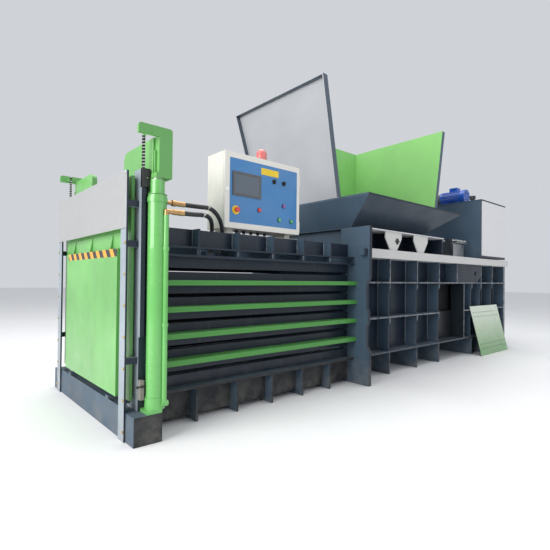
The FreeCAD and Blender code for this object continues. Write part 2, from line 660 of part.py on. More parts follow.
# ---------------------------------------------------------------- power pack
def power_pack():
    x0, x1, y0, y1, z0, z1 = tank
    bearer = 60.0
    rails = [box(x0, x1, y, y + bearer, roof_z + plate, z0) for y in (-wall_in, wall_in - bearer)]
    save("oil_tank", rails)
    shell = cut(box(x0, x1, y0, y1, z0, z1 - 10), box(x0 + 8, x1 - 8, y0 + 8, y1 - 8, z0 + 8, z1 - 9))
    save("oil_tank", [shell])
    save("oil_tank", [box(x0 - 5, x1, y0 - 4, y1 + 5, z1 - 10, z1)])
    save("tank_side_panel", [box(x0 + 20, x1 - 10, y0 - 4, y0, z0 + 30, z1 - 20)])
    save("tank_side_panel", [box(x0 + 35, x0 + 60, y0 - 16, y0 - 4, z0 + 50, z0 + 110)])
    breather = fuse(cyl((x0 + 130, y0 + 180, z1), (0, 0, 1), 28, 40),
                    cyl((x0 + 130, y0 + 180, z1 + 40), (0, 0, 1), 42, 45))
    save("tank_breather", [breather])

    mx, mz, mr = x0 + 450.0, z1 + 160.0, 105.0
    my0, my1 = -330.0, 60.0
    feet = [box(mx - 110, mx + 110, y, y + 50, z1, mz - mr + 22) for y in (my0 + 70, my1 - 120)]
    body = fuse(cyl((mx, my0 + 60, mz), (0, 1, 0), mr, my1 - my0 - 60), *feet)
    box_top = box(mx - 60, mx + 60, my0 + 130, my0 + 250, mz + mr - 20, mz + mr + 45)
    body = fuse(body, box_top)
    hollow = cyl((mx, my0 + 60, mz), (0, 1, 0), 88, my1 - my0 - 90)
    shaft_hole = cyl((mx, my1 - 31, mz), (0, 1, 0), 16 + pin_gap, 40)
    body = cut(body, hollow, shaft_hole)
    save("motor_body", [body])
    cowl = cut(cyl((mx, my0, mz), (0, 1, 0), mr + 3, 60), cyl((mx, my0 + 6, mz), (0, 1, 0), mr - 4, 60))
    for i in range(6):
        a = math.radians(60 * i)
        cowl = cut(cowl, cyl((mx + 55 * math.cos(a), my0 - 1, mz + 55 * math.sin(a)), (0, 1, 0), 14, 8))
    save("motor_body", [cowl])
    core = cyl((mx, my0 + 80, mz), (0, 1, 0), 80, 230)
    shaft = cyl((mx, my0 + 15, mz), (0, 1, 0), 16, my1 - my0 + 45)
    fan = cyl((mx, my0 + 22, mz), (0, 1, 0), 30, 25)
    for i in range(8):
        blade = box(mx + 25, mx + 92, my0 + 25, my0 + 45, mz - 3, mz + 3)
        blade.rotate(V(mx, 0, mz), V(0, 1, 0), 45 * i)
        fan = fuse(fan, blade)
    save("motor_rotor", [fuse(core, shaft, fan)])
    bell = Part.makeCone(mr - 2, 62, 110, V(mx, my1, mz), V(0, 1, 0))
    bell = cut(bell, cyl((mx, my1 - 1, mz), (0, 1, 0), 45, 100))
    save("oil_pump", [bell])
    pump = fuse(cyl((mx, my1 + 110, mz), (0, 1, 0), 55, 130),
                box(mx - 70, mx + 70, my1 + 150, my1 + 200, mz - 50, mz + 50))
    stand = box(mx - 60, mx + 60, my1 + 150, my1 + 200, z1, mz - 50)
    save("oil_pump", [fuse(pump, stand)])

    bx0, bx1, by0, by1 = 4640.0, 4960.0, -600.0, -420.0
    z_low = press_top + pale_beam_height
    zt = z_low + rib_plate
    table = box(bx0 - 20, bx1 + 20, -wall_out, by1 + 30, z_low, zt)
    block = box(bx0 - 20, bx1 + 20, -wall_in, by1 + 30, roof_z + plate, z_low)
    save("valve_manifold", [fuse(table, block)])
    save("valve_manifold", [box(bx0, bx1, by0 + 40, by1, zt, zt + 180)])
    valves = []
    for i in range(4):
        x = bx0 + 35 + 80 * i
        valves.append(box(x - 25, x + 25, by0 + 60, by1 - 20, zt + 180, zt + 250))
        valves.append(cyl((x, by0 + 60, zt + 215), (0, -1, 0), 22, 70))
        valves.append(cyl((x, by1 - 20, zt + 215), (0, 1, 0), 22, 60))
    save("valve_manifold", valves)
    pipes = []
    for i in range(3):
        z = zt + 50 + 50 * i
        pipes.append(cyl((bx1, by0 + 100 + 20 * i, z), (1, 0, 0), 13, x0 - bx1))
    save("valve_manifold", pipes)


# ---------------------------------------------------------------- control cabinet
def controls():
    x0, x1, y0, y1, z0, z1 = cabinet
    t = 3.0
    door_t = 22.0
    deck = roof_z + 200
    foot = deck + 14
    save("cabinet_body", [box(x0 + 60, x0 + 120, y0 + 60, y1 - 20, foot, z0),
                          box(x1 - 120, x1 - 60, y0 + 60, y1 - 20, foot, z0),
                          box(x0 - 20, x1 + 20, y0 + 40, y1, deck, foot)])
    shell = cut(box(x0, x1, y0 + door_t, y1, z0, z1),
                box(x0 + t, x1 - t, y0 + door_t - 1, y1 - t, z0 + t, z1 - t))
    rail_z = [z0 + 180, z0 + 400]
    rails = [box(x0 + 60, x1 - 60, y1 - t - 20, y1 - t, z, z + 35) for z in rail_z]
    save("cabinet_body", [shell])
    gear = [box(x0 + 80 + 70 * i, x0 + 130 + 70 * i, y1 - t - 90, y1 - t - 20, z - 20, z + 60)
            for z in rail_z for i in range(9)]
    save("cabinet_gear", rails + gear)
    face = y0 + door_t - 2.0
    door = box(x0, x1, y0, face, z0, z1)
    pocket = box(x0 + 15, x1 - 15, y0 + 2, face + 1, z0 + 15, z1 - 15)
    sx0, sx1, sz0, sz1 = x0 + 70, x0 + 355, z0 + 260, z0 + 450
    window_cut = box(sx0, sx1, y0 - 1, y0 + 3, sz0, sz1)
    holes = []
    stop_at = (x0 + 105, z0 + 145)
    selectors = [(x0 + 500, z0 + 430), (x0 + 610, z0 + 430)]
    buttons = [(x0 + 340, z0 + 170), (x0 + 610, z0 + 235), (x0 + 560, z0 + 110), (x0 + 700, z0 + 110)]
    hole_r = 11.0
    for px, pz in [stop_at] + selectors + buttons:
        holes.append(cyl((px, y0 - 1, pz), (0, 1, 0), hole_r, 8))
    door = cut(door, pocket, window_cut, *holes)
    hinge = cyl((x1 + 8, y0 + 10, z0 + 60), (0, 0, 1), 6, 60)
    hinge2 = cyl((x1 + 8, y0 + 10, z1 - 120), (0, 0, 1), 6, 60)
    leaf = [box(x1, x1 + 8, y0 + 8, y0 + 12, z, z + 60) for z in (z0 + 60, z1 - 120)]
    door = fuse(door, hinge, hinge2, *leaf)
    save("cabinet_door", [door])
    pins = [fuse(cyl((x1 + 8, y0 + 10, z), (0, 0, 1), 6, 40),
                 box(x1, x1 + 8, y0 + door_t, y0 + door_t + 6, z, z + 40),
                 box(x1 + 4, x1 + 12, y0 + 10, y0 + door_t + 6, z, z + 40))
            for z in (z0 + 60 - 40 - pin_gap, z1 - 120 - 40 - pin_gap)]
    save("cabinet_body", pins)
    save("operator_screen", [box(sx0, sx1, y0 - 6, y0 + 3, sz0, sz1)])
    ring = cut(cyl((stop_at[0], y0 - 3, stop_at[1]), (0, 1, 0), 35, 3),
               cyl((stop_at[0], y0 - 4, stop_at[1]), (0, 1, 0), hole_r, 5))
    save("cabinet_door", [ring])
    stem_r = hole_r - pin_gap
    save("e_stop_button", [fuse(cyl((stop_at[0], y0 - 32, stop_at[1]), (0, 1, 0), 20, 16),
                                cyl((stop_at[0], y0 - 16, stop_at[1]), (0, 1, 0), stem_r, 24))])
    for i, (px, pz) in enumerate(buttons):
        save("push_button_" + str(i + 1), [fuse(cyl((px, y0 - 11, pz), (0, 1, 0), 15, 5),
                                                cyl((px, y0 - 6, pz), (0, 1, 0), stem_r, 14))])
    for i, (px, pz) in enumerate(selectors):
        knob = fuse(cyl((px, y0 - 8, pz), (0, 1, 0), 16, 7.7), cyl((px, y0 - 1, pz), (0, 1, 0), stem_r, 9),
                    box(px - 5, px + 5, y0 - 24, y0 - 8, pz - 15, pz + 15))
        save("selector_" + str(i + 1), [knob])
    bx, by = x0 + 460, (y0 + y1) / 2
    lamp = fuse(cyl((bx, by, z1 + 22), (0, 0, 1), 46, 60), Part.makeSphere(46, V(bx, by, z1 + 82)))
    save("beacon_lamp", [lamp])
    save("cabinet_body", [cyl((bx, by, z1), (0, 0, 1), 52, 22)])


# ---------------------------------------------------------------- hoses
def hose_solid(route, radius):
    """A tube along straight runs joined by tangent arcs; prints each arc's radius."""
    points = [V(*p) for p in route]
    edges, start = [], points[0]
    for i in range(1, len(points) - 1):
        a, b, c = points[i - 1], points[i], points[i + 1]
        u, w = (a - b), (c - b)
        run = min(u.Length, w.Length)
        u.normalize()
        w.normalize()
        half = (math.pi - u.getAngle(w)) / 2
        r = 0.45 * run / math.tan(half)
        cut_len = 0.45 * run
        p, q = b + u * cut_len, b + w * cut_len
        mid_dir = (u + w).normalize()
        centre = b + mid_dir * (r / math.cos(half))
        m = centre - mid_dir * r
        edges.append(Part.LineSegment(start, p).toShape())
        edges.append(Part.Arc(p, m, q).toShape())
        start = q
        print("arc radius", round(r, 1))
    edges.append(Part.LineSegment(start, points[-1]).toShape())
    path = Part.Wire(edges)
    first = points[1] - points[0]
    ring = Part.Wire(Part.makeCircle(radius, points[0], first))
    tube = path.makePipeShell([ring], True, False)
    print("hose volume ratio", round(tube.Volume / (math.pi * radius ** 2 * path.Length), 4),
          "length", round(path.Length, 1))
    return tube


hose_r = 15.5
hose_routes = {
    "hose_upper": [(380, -812, 1486), (485, -812, 1486), (595, -785, 1496), (690, -725, 1468), (765, -662, 1428),
                   (815, -610, 1370), (835, -578, 1290)],
    "hose_lower": [(330, -894.5, 1415), (400, -894.5, 1415), (470, -874, 1424), (540, -827, 1430), (600, -765, 1430),
                   (652, -705, 1424), (694, -652, 1404), (722, -610, 1356), (735, -582, 1290)],
}


def hoses():
    """Two hoses from the near lift cylinder to bulkheads on the chamber roof, and their end fittings."""
    for name, route in hose_routes.items():
        save(name, [hose_solid(route, hose_r)])
    upper, lower = hose_routes["hose_upper"], hose_routes["hose_lower"]
    side = upper[0][1] + lift_y
    clear_r = lift_r + 5.2
    around = cyl((lift_x, -lift_y, 0), (0, 0, 1), clear_r, 2000)
    x_in = lift_x + math.sqrt(clear_r ** 2 - side ** 2) + 0.2
    fittings = [fuse(cyl((x_in, upper[0][1], upper[0][2]), (1, 0, 0), 13, 80),
                     cyl((x_in + 50, upper[0][1], upper[0][2]), (1, 0, 0), 20, 24),
                     cyl((x_in + 74, upper[0][1], upper[0][2]), (1, 0, 0), 17, upper[0][0] - x_in - 74))]
    fittings[0] = cut(fittings[0], around)
    px, py = lift_x + 32, -lift_y - lift_r - pipe_r + 14
    z = lower[0][2]
    elbow = fuse(cyl((px, py, 1390), (0, 0, 1), 15, z - 1390), Part.makeSphere(16, V(px, py, z)),
                 cyl((px, py, z), (1, 0, 0), 15, 60))
    tail = cyl((px + 45, py, z), (1, 0, 0), 18, lower[0][0] - px - 45)
    fittings.append(cut(fuse(elbow, tail), around))
    for route in (upper, lower):
        a, b = V(*route[-2]), V(*route[-1])
        d = (b - a).normalize()
        seat_z = roof_z + 15 + 40
        run = (b.z - seat_z) / -d.z
        end = b + d * run
        block = box(end.x - 60, end.x + 18, end.y - 30, end.y + 40, roof_z + 15, seat_z)
        tail = Part.makeCylinder(18, run + 20, b, d)
        fittings.append(fuse(block, cut(tail, block)))
    save("hose_fittings", fittings)




def cover_plate():
    """Perforated cover, taken off and leant against the near side."""
    low_y, top_z, touch_z = -880.0, 655.0, floor_top + flange_gap[0] + rib_plate
    x0, x1, t = 4800.0, 5700.0, 3.0
    tilt = math.atan2(-rib_out - pin_gap - low_y, touch_z)
    rise = top_z / math.cos(tilt)
    sheet = box(x0, x1, -t, 0, 0, rise)
    holes = []
    for z in (90, 150, rise - 150, rise - 90):
        for i in range(14):
            holes.append(cyl((x0 + 60 + 60 * i, -t - 1, z), (0, 1, 0), 6, t + 2))
    for x in (x0 + 170, x1 - 170):
        holes.append(cyl((x, -t - 1, rise - 35), (0, 1, 0), 6, t + 2))
    sheet = sheet.cut(Part.makeCompound(holes))
    sheet.rotate(V(0, 0, 0), V(1, 0, 0), -math.degrees(tilt))
    lift = t * math.sin(tilt)
    sheet.translate(V(0, low_y - lift * math.tan(tilt), lift))
    save("loose_cover_plate", [sheet])


# ---------------------------------------------------------------- build
os.makedirs("parts", exist_ok=True)
gate_end()
gate()
lift_heads()
lift_cylinders()
rack_and_guide()
limit_switch()
chamber()
stanchions()
press_section()
lifting_lugs()
hopper_seat()
hopper()
ram()
power_pack()
controls()
hoses()
cover_plate()
write_nodes()
print(len(nodes), "nodes")
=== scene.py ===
import math

import bmesh
import bpy
from mathutils import Matrix, Vector


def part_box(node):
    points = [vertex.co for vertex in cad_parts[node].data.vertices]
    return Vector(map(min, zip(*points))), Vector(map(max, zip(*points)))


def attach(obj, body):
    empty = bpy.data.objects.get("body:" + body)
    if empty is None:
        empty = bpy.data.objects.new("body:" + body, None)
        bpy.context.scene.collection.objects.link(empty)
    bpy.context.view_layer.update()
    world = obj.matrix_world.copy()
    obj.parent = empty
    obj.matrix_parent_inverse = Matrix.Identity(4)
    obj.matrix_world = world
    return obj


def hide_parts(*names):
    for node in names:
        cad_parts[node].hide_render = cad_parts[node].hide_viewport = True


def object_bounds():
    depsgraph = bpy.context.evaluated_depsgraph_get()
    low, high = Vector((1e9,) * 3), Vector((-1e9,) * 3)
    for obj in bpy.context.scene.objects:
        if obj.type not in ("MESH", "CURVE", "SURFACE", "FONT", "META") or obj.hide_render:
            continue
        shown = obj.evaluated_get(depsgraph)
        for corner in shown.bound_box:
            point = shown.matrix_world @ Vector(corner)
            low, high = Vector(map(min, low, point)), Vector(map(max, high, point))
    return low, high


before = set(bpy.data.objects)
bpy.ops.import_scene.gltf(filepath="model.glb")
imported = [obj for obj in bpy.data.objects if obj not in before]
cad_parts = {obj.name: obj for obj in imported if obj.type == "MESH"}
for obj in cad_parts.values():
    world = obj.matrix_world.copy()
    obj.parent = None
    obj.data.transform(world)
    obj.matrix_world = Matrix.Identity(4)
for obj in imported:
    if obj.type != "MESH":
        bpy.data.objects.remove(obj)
cad_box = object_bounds()

# The row frame: X from the bale gate (-X) to the oil tank (+X), Y = 0 the middle plane, Z = 0 the ground.
# Lengths are in metres.
LOW, HIGH = Vector(cad_box[0]), Vector(cad_box[1])


# ---------------------------------------------------------------- camera
CAMERA_PLACE = Vector((-3.960, -3.280, 1.000))
CAMERA_HEADING = Vector((0.655, 0.756))
CAMERA_PITCH = math.radians(0.6)
CAMERA_ROLL = math.radians(0.61)

scene = bpy.context.scene
camera = bpy.data.objects.new("camera", bpy.data.cameras.new("camera"))
scene.collection.objects.link(camera)
heading = CAMERA_HEADING.normalized() * math.cos(CAMERA_PITCH)
look = Vector((heading.x, heading.y, math.sin(CAMERA_PITCH)))
turn = look.to_track_quat("-Z", "Y").to_matrix() @ Matrix.Rotation(CAMERA_ROLL, 3, "Z")
camera.matrix_world = Matrix.Translation(CAMERA_PLACE) @ turn.to_4x4()
camera.data.lens = 27.2
camera.data.sensor_width = 36.0
camera.data.clip_end = 100.0
scene.camera = camera
scene.render.resolution_x = 550
scene.render.resolution_y = 550


# ---------------------------------------------------------------- shader helpers
def add(tree, kind, **sockets):
    """A shader node with its inputs set: a socket joins, any other value is set.

    "Base_Color" is Base Color.
    """
    node = tree.nodes.new(kind)
    for name, value in sockets.items():
        socket = node.inputs[name.replace("_", " ")]
        if isinstance(value, bpy.types.NodeSocket):
            tree.links.new(value, socket)
        else:
            socket.default_value = value
    return node


def maths(tree, operation, *values):
    node = tree.nodes.new("ShaderNodeMath")
    node.operation = operation
    for socket, value in zip(node.inputs, values):
        if isinstance(value, bpy.types.NodeSocket):
            tree.links.new(value, socket)
        else:
            socket.default_value = value
    return node.outputs[0]


def ramp(tree, value, start, end, low=0.0, high=1.0):
    """value mapped from start..end to low..high, held at both ends."""
    node = add(tree, "ShaderNodeMapRange", Value=value, From_Min=start, From_Max=end, To_Min=low, To_Max=high)
    return node.outputs["Result"]


def blend(tree, share, a, b, mode="MIX"):
    node = tree.nodes.new("ShaderNodeMix")
    node.data_type = "RGBA"
    node.blend_type = mode
    for index, value in ((0, share), (6, a), (7, b)):
        if isinstance(value, bpy.types.NodeSocket):
            tree.links.new(value, node.inputs[index])
        elif index == 0:
            node.inputs[index].default_value = value
        else:
            node.inputs[index].default_value = (*value, 1.0)
    return node.outputs[2]


def noise(tree, place, size, detail=3.0, rough=0.55):
    """Noise whose blotches are about size metres wide."""
    node = add(tree, "ShaderNodeTexNoise", Vector=place, Scale=1.0 / size, Detail=detail, Roughness=rough)
    return node.outputs["Fac"]


def between(tree, value, low, high, soft=0.001):
    """1 where value lies from low to high, 0 elsewhere."""
    rise = ramp(tree, value, low - soft, low + soft)
    fall = ramp(tree, value, high - soft, high + soft, 1.0, 0.0)
    return maths(tree, "MULTIPLY", rise, fall)


class Finish:
    """One surface finish: its tree, the place of each point in the row frame, and its last node."""

    def __init__(self, name):
        self.material = bpy.data.materials.new(name)
        self.material.use_nodes = True
        self.tree = self.material.node_tree
        self.tree.nodes.clear()
        self.place = add(self.tree, "ShaderNodeTexCoord").outputs["Object"]
        split = add(self.tree, "ShaderNodeSeparateXYZ", Vector=self.place)
        self.x, self.y, self.z = split.outputs
        normal = add(self.tree, "ShaderNodeNewGeometry").outputs["Normal"]
        facing = add(self.tree, "ShaderNodeSeparateXYZ", Vector=normal)
        self.nx, self.ny, self.nz = facing.outputs

    def close(self, colour, rough, metal=0.0, grain=None, depth=0.0003, coat=0.0, extra=None):
        shader = self.tree.nodes.new("ShaderNodeBsdfPrincipled")
        for name, value in (("Base Color", colour), ("Roughness", rough), ("Metallic", metal),
                            ("Coat Weight", coat)):
            if isinstance(value, bpy.types.NodeSocket):
                self.tree.links.new(value, shader.inputs[name])
            elif name == "Base Color":
                shader.inputs[name].default_value = (*value, 1.0)
            else:
                shader.inputs[name].default_value = value
        for name, value in (extra or {}).items():
            shader.inputs[name].default_value = value
        if grain is not None:
            bump = add(self.tree, "ShaderNodeBump", Height=grain, Strength=1.0, Distance=depth)
            self.tree.links.new(bump.outputs["Normal"], shader.inputs["Normal"])
        add(self.tree, "ShaderNodeOutputMaterial", Surface=shader.outputs[0])
        return self.material


DUST = (0.27, 0.25, 0.22)


def paint(name, colour, rough=0.38, mottle=0.12, dust=0.5, dust_top=0.35, side=None, coat=0.25, wear=0.25,
          marks=()):
    """Sprayed machine paint: faint clouding and orange peel, dust on level faces and near the ground, small
    rubs. side is painted shade: the darker colour laid on the faces looking -Y, standing in for the shade on
    them. marks are pairs of a share and the colour laid on where it is 1."""
    f = Finish(name)
    t = f.tree
    clouds = noise(t, f.place, 0.45, 4.0)
    dark = tuple(c * (1.0 - mottle) for c in colour)
    light = tuple(min(1.0, c * (1.0 + mottle)) for c in colour)
    base = blend(t, ramp(t, clouds, 0.35, 0.65), dark, light)
    if side is not None:
        # painted shade: faces looking -Y take the darker side colour
        base = blend(t, ramp(t, f.ny, -0.35, -0.8), base, side)
    streak_place = add(t, "ShaderNodeMapping", Vector=f.place, Scale=(1.0, 1.0, 0.12)).outputs[0]
    streaks = ramp(t, noise(t, streak_place, 0.05, 5.0, 0.7), 0.56, 0.74)
    base = blend(t, maths(t, "MULTIPLY", streaks, 0.07), base, DUST)
    level = ramp(t, f.nz, 0.55, 0.95)
    low = ramp(t, f.z, dust_top, 0.0)
    patch = ramp(t, noise(t, f.place, 0.12, 6.0, 0.65), 0.38, 0.68)
    dusty = maths(t, "MULTIPLY", maths(t, "MAXIMUM", maths(t, "MULTIPLY", level, 0.75), low), patch)
    base = blend(t, maths(t, "MULTIPLY", dusty, dust), base, DUST)
    rubs = ramp(t, noise(t, f.place, 0.018, 8.0, 0.75), 0.70, 0.78)
    base = blend(t, maths(t, "MULTIPLY", rubs, wear), base, tuple(c * 0.35 for c in colour))
    for share, mark in marks:
        base = blend(t, share(f), base, mark)
    matt = ramp(t, noise(t, f.place, 0.2, 4.0), 0.3, 0.7, rough - 0.07, rough + 0.12)
    matt = maths(t, "ADD", matt, maths(t, "MULTIPLY", dusty, 0.3))
    peel = noise(t, f.place, 0.004, 2.0)
    return f.close(base, matt, 0.0, peel, 0.00012, coat, {"Specular IOR Level": 0.32})


def metal(name, colour, rough, spread=0.10, along="x", scratch=0.6, depth=0.00008):
    """Bare or plated metal with fine lines along one axis and cloudy patches."""
    f = Finish(name)
    t = f.tree
    scale = {"x": (0.04, 1.0, 1.0), "y": (1.0, 0.04, 1.0), "z": (1.0, 1.0, 0.04)}[along]
    lines = noise(t, add(t, "ShaderNodeMapping", Vector=f.place, Scale=scale).outputs[0], 0.0015, 3.0)
    clouds = noise(t, f.place, 0.09, 5.0, 0.6)
    base = blend(t, ramp(t, clouds, 0.3, 0.7), tuple(c * (1.0 - spread) for c in colour), colour)
    base = blend(t, maths(t, "MULTIPLY", ramp(t, lines, 0.45, 0.75), 0.2 * scratch), base, (0.9, 0.9, 0.9))
    uneven = maths(t, "ADD", clouds, maths(t, "MULTIPLY", lines, 0.4))
    matt = ramp(t, uneven, 0.4, 1.0, rough - 0.08, rough + 0.12)
    return f.close(base, matt, 1.0, lines, depth)


def plastic(name, colour, rough=0.35, sheen=0.0, texture=0.0012, depth=0.00005):
    """Moulded plastic: even colour with a fine skin texture and a little dust."""
    f = Finish(name)
    t = f.tree
    clouds = noise(t, f.place, 0.03, 4.0)
    base = blend(t, ramp(t, clouds, 0.35, 0.7), tuple(c * 0.9 for c in colour), colour)
    dusty = maths(t, "MULTIPLY", ramp(t, f.nz, 0.4, 0.9), ramp(t, noise(t, f.place, 0.01, 5.0), 0.4, 0.7))
    base = blend(t, maths(t, "MULTIPLY", dusty, 0.25), base, DUST)
    matt = ramp(t, noise(t, f.place, 0.02, 3.0), 0.3, 0.7, rough - 0.05, rough + 0.1)
    return f.close(base, matt, 0.0, noise(t, f.place, texture, 2.0), depth, sheen)


# ---------------------------------------------------------------- finishes
BLUE_GREY = (0.060, 0.094, 0.134)
# painted shade: the darker blue-grey laid on faces looking -Y and under the hopper seat's flange
BLUE_GREY_SHADE = (0.011, 0.019, 0.033)
GREEN = (0.150, 0.400, 0.112)
# painted shade: the darker green laid on faces looking -Y
GREEN_SHADE = (0.110, 0.320, 0.085)
# painted reflection: this pale grey stands in for the bright sheen on the long beams, the V gussets and the
# hopper seat's flange
REFLECTION_PALE = (0.620, 0.620, 0.630)
CREAM = (0.700, 0.680, 0.630)
PANEL_BLUE = (0.020, 0.170, 0.420)



def rib_edge_highlight(f):
    """Painted highlight along the ribs' outer faces, broken into patches and weaker below 0.4 m; the lug
    plates stay plain.
    """
    t = f.tree
    edge = ramp(t, maths(t, "ABSOLUTE", f.y), RIB_OUT - 0.002, RIB_OUT - 0.001)
    lug = maths(t, "MULTIPLY", between(t, f.x, LUG[0], LUG[1]), between(t, f.z, 0.987, 1.229))
    highlight_patches = ramp(t, noise(t, f.place, 0.06, 5.0), 0.3, 0.6)
    highlight_share = maths(t, "MULTIPLY", ramp(t, f.z, 0.20, 0.40, 0.1, 0.6), highlight_patches)
    return maths(t, "MULTIPLY", maths(t, "MULTIPLY", edge, highlight_share), maths(t, "SUBTRACT", 1.0, lug))


def window_recess_shade(f):
    """Painted shade in the access window's recess, on the faces set back from the ribs' outer faces."""
    t = f.tree
    wide = between(t, f.x, WINDOW[0], WINDOW[1], 0.004)
    deep = ramp(t, maths(t, "ABSOLUTE", f.y), RIB_OUT - 0.003, RIB_OUT - 0.006)
    return maths(t, "MULTIPLY", maths(t, "MULTIPLY", wide, between(t, f.z, 0.246, 0.969, 0.002)),
                 maths(t, "MULTIPLY", deep, 0.85))


RIB_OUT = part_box("press_ribs")[1][1]
WINDOW = (0.957, 1.627)
BULKHEAD_TOP = 1.205
LUG = (1.427, 2.139)
blue_grey = paint("blue_grey_paint", BLUE_GREY, 0.34, side=BLUE_GREY_SHADE, dust=0.45, coat=0.05)
# painted light: a lighter copy of the blue-grey paint for the gate columns and guide strips, for the window
# light on their faces looking -X; their faces looking -Y take painted shade
strip_lit_paint = paint("strip_lit_paint", (0.270, 0.310, 0.350), 0.34, side=BLUE_GREY_SHADE, dust=0.3, coat=0.05)
# rib_paint carries a painted highlight on the ribs' outer faces (light blue-grey) and painted shade in the
# access window's recess (near black)
rib_paint = paint("rib_paint", BLUE_GREY, 0.34, side=BLUE_GREY_SHADE, dust=0.4, coat=0.05,
                  marks=((rib_edge_highlight, (0.330, 0.350, 0.370)), (window_recess_shade, (0.006, 0.007, 0.008))))
# painted shade: near-black paint on the ram, which sits in shade behind the access window
ram_shade_black = paint("ram_shade_black", (0.010, 0.011, 0.012), 0.5, dust=0.2, coat=0.0)
floor_frame = paint("blue_grey_low", BLUE_GREY, 0.5, side=(0.013, 0.016, 0.020), dust=0.4,
                    dust_top=0.3, coat=0.0)
green = paint("green_paint", GREEN, 0.33, side=GREEN_SHADE, dust=0.45, dust_top=0.25)
gloss_green = paint("green_gloss", (0.130, 0.420, 0.105), 0.2, mottle=0.06, dust=0.25,
                    dust_top=0.2, coat=0.8, wear=0.1)
rail_green = paint("rail_green", (0.110, 0.420, 0.085), 0.34, side=(0.060, 0.250, 0.045), dust=0.3,
                   dust_top=0.0)
# painted reflection: the long beams are pale grey for the sheen on them, their faces looking -Y a little
# darker
pale = paint("pale_reflection_paint", REFLECTION_PALE, 0.42, side=(0.560, 0.555, 0.545), dust=0.35)
# painted reflection: the V gussets are pale grey for the sheen on them; the near-black mark covers what
# stands beyond y = -0.766 m
gusset_reflection_paint = paint("gusset_reflection_paint", REFLECTION_PALE, 0.42, side=(0.600, 0.590, 0.570), dust=0.2,
                     marks=((lambda f: ramp(f.tree, f.y, -0.7655, -0.7665), (0.012, 0.014, 0.012)),))
black_paint = paint("black_paint", (0.020, 0.020, 0.022), 0.42, dust=0.4)
motor_blue = paint("motor_blue", (0.012, 0.085, 0.420), 0.3, dust=0.35, coat=0.5)
zinc = metal("zinc_yellow", (0.560, 0.440, 0.210), 0.34)
steel = metal("machined_steel", (0.480, 0.485, 0.490), 0.34)
chrome = metal("hard_chrome", (0.780, 0.790, 0.800), 0.13, 0.04, "z", 0.2)
chrome_long = metal("hard_chrome_long", (0.780, 0.790, 0.800), 0.13, 0.04, "x", 0.2)
cast = paint("cast_grey", (0.100, 0.100, 0.105), 0.55, dust=0.5, coat=0.0)
rubber = plastic("hose_rubber", (0.016, 0.016, 0.017), 0.45, texture=0.003, depth=0.0001)
red = plastic("red_plastic", (0.620, 0.020, 0.016), 0.25, 0.4)
green_cap = plastic("green_plastic", (0.060, 0.420, 0.140), 0.28, 0.4)
purple_cap = plastic("purple_plastic", (0.230, 0.060, 0.300), 0.28, 0.4)
yellow = plastic("yellow_plastic", (0.800, 0.560, 0.020), 0.35)
dark_plastic = plastic("dark_plastic", (0.025, 0.025, 0.027), 0.4)
grey_plastic = plastic("grey_plastic", (0.240, 0.225, 0.200), 0.5)
white_plastic = plastic("white_plastic", (0.720, 0.710, 0.680), 0.4)


def two_tone(name, colour, other, share, rough=0.4, coat=0.2, mark=None, mark_share=None):
    """Paint that changes from colour to other where share, a function of the finish, is 1."""
    f = Finish(name)
    t = f.tree
    clouds = noise(t, f.place, 0.3, 4.0)
    base = blend(t, share(f), colour, other)
    base = blend(t, ramp(t, clouds, 0.3, 0.7, 0.0, 0.09), base, tuple(c * 0.5 for c in colour))
    if mark is not None:
        base = blend(t, mark_share(f), base, mark)
    drift = ramp(t, noise(t, f.place, 0.12, 6.0, 0.65), 0.4, 0.7)
    dusty = maths(t, "MULTIPLY", ramp(t, f.nz, 0.55, 0.95), drift)
    base = blend(t, maths(t, "MULTIPLY", dusty, 0.4), base, DUST)
    matt = ramp(t, noise(t, f.place, 0.2, 4.0), 0.3, 0.7, rough - 0.06, rough + 0.12)
    peel = noise(t, f.place, 0.004, 2.0)
    return f.close(base, matt, 0.0, peel, 0.00012, coat, {"Specular IOR Level": 0.35})


def galvanised_sheet():
    """Cold-dipped sheet: spangles a few centimetres wide, soft streaks and a blurred shine."""
    f = Finish("galvanised_sheet")
    t = f.tree
    cells = add(t, "ShaderNodeTexVoronoi", Vector=f.place, Scale=110.0).outputs["Color"]
    tone = add(t, "ShaderNodeSeparateColor", Color=cells).outputs[0]
    base = blend(t, ramp(t, tone, 0.0, 1.0), (0.600, 0.600, 0.595), (0.665, 0.665, 0.660))
    sweep = add(t, "ShaderNodeMapping", Vector=f.place, Scale=(1.0, 0.5, 1.6)).outputs[0]
    smears = ramp(t, noise(t, sweep, 0.5, 2.0, 0.4), 0.35, 0.7)
    base = blend(t, maths(t, "MULTIPLY", smears, 0.3), base, (0.440, 0.430, 0.420))
    matt = maths(t, "ADD", ramp(t, tone, 0.0, 1.0, 0.30, 0.34), maths(t, "MULTIPLY", smears, 0.08))
    return f.close(base, matt, 0.75, smears, 0.0015)


def hose_ends():
    """Yellow-plated hose ends; the bulkhead blocks under them carry the roof's paint."""
    f = Finish("hose_ends")
    t = f.tree
    plated = ramp(t, f.z, BULKHEAD_TOP, BULKHEAD_TOP + 0.001)
    clouds = noise(t, f.place, 0.03, 4.0)
    plating = blend(t, ramp(t, clouds, 0.35, 0.7), (0.420, 0.250, 0.110), (0.520, 0.330, 0.160))
    base = blend(t, plated, BLUE_GREY, plating)
    return f.close(base, ramp(t, clouds, 0.3, 0.7, 0.24, 0.42), plated, clouds, 0.0001)


